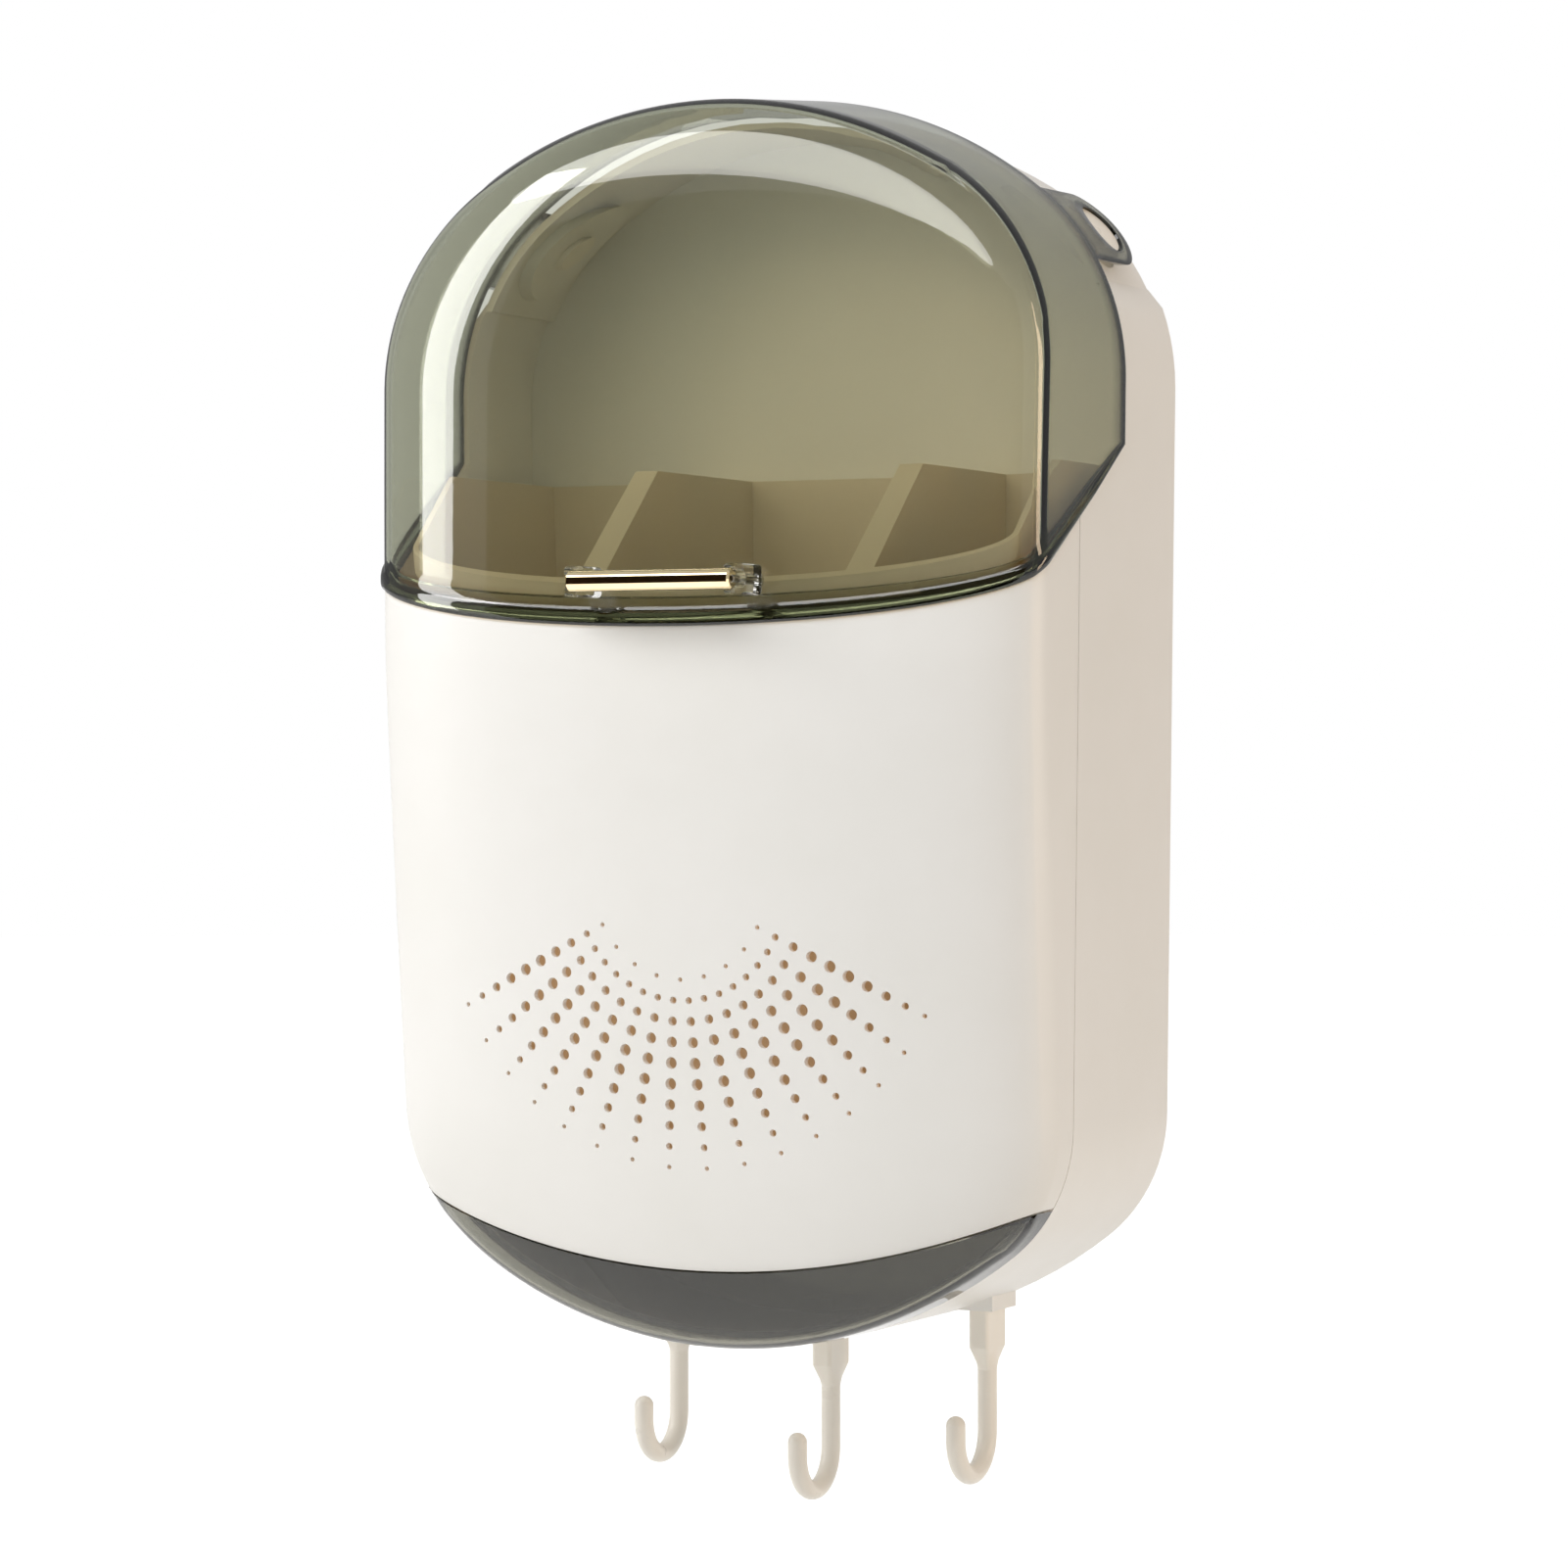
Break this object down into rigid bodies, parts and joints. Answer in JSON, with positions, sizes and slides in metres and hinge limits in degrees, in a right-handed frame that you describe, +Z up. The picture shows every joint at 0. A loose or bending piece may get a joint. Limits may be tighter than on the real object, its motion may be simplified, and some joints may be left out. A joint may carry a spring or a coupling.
{
  "type": "wall chopstick holder",
  "caption": "Wall-hung holder for chopsticks and cutlery: cream housing with a vented bulged front, smoked flip lid with a gold bar handle, lift-out divided liner, drip tray and hooks below.",
  "frame": {"origin": "on the wall plane at the housing's back face, midway between the two screw holes", "axes": "+Y into the wall, so the lid and handle face -Y; +Z up; +X to the right as seen from the front"},
  "size_m": [0.208, 0.1232, 0.3957],
  "materials": {
    "housing_plastic": "satin",
    "peg_plastic": "satin",
    "liner_plastic": "satin",
    "smoked_tray_plastic": "polished",
    "smoked_lid_plastic": "polished",
    "gold_bar": "polished",
    "clear_plastic": "polished",
    "screw_steel": "satin",
    "hook_plastic": "satin"
  },
  "bodies": {
    "housing": {"rear_shell": "housing_plastic", "front_cover": "housing_plastic", "hinge_pin_left": "peg_plastic", "hinge_pin_right": "peg_plastic", "hook_left": "hook_plastic", "hook_middle": "hook_plastic", "hook_right": "hook_plastic"},
    "lid": {"flip_lid": "smoked_lid_plastic", "handle_bar": "gold_bar", "handle_post_left": "clear_plastic", "handle_post_right": "clear_plastic", "handle_screws": "screw_steel"},
    "liner": {"cell_liner": "liner_plastic"},
    "tray": {"drip_tray": "smoked_tray_plastic"}
  },
  "joints": [
    {"name": "lid_hinge", "type": "hinge", "parent": "housing", "child": "lid", "pos_m": [0, -0.0227, 0.0795], "axis": [-1, 0, 0], "range_deg": [0, 50]},
    {"name": "liner_lift", "type": "slide", "parent": "housing", "child": "liner", "axis": [0, 0, 1], "range_m": [0, 0.045]},
    {"name": "tray_slide", "type": "slide", "parent": "housing", "child": "tray", "axis": [0, -1, 0], "range_m": [0, 0.06]}
  ]
}
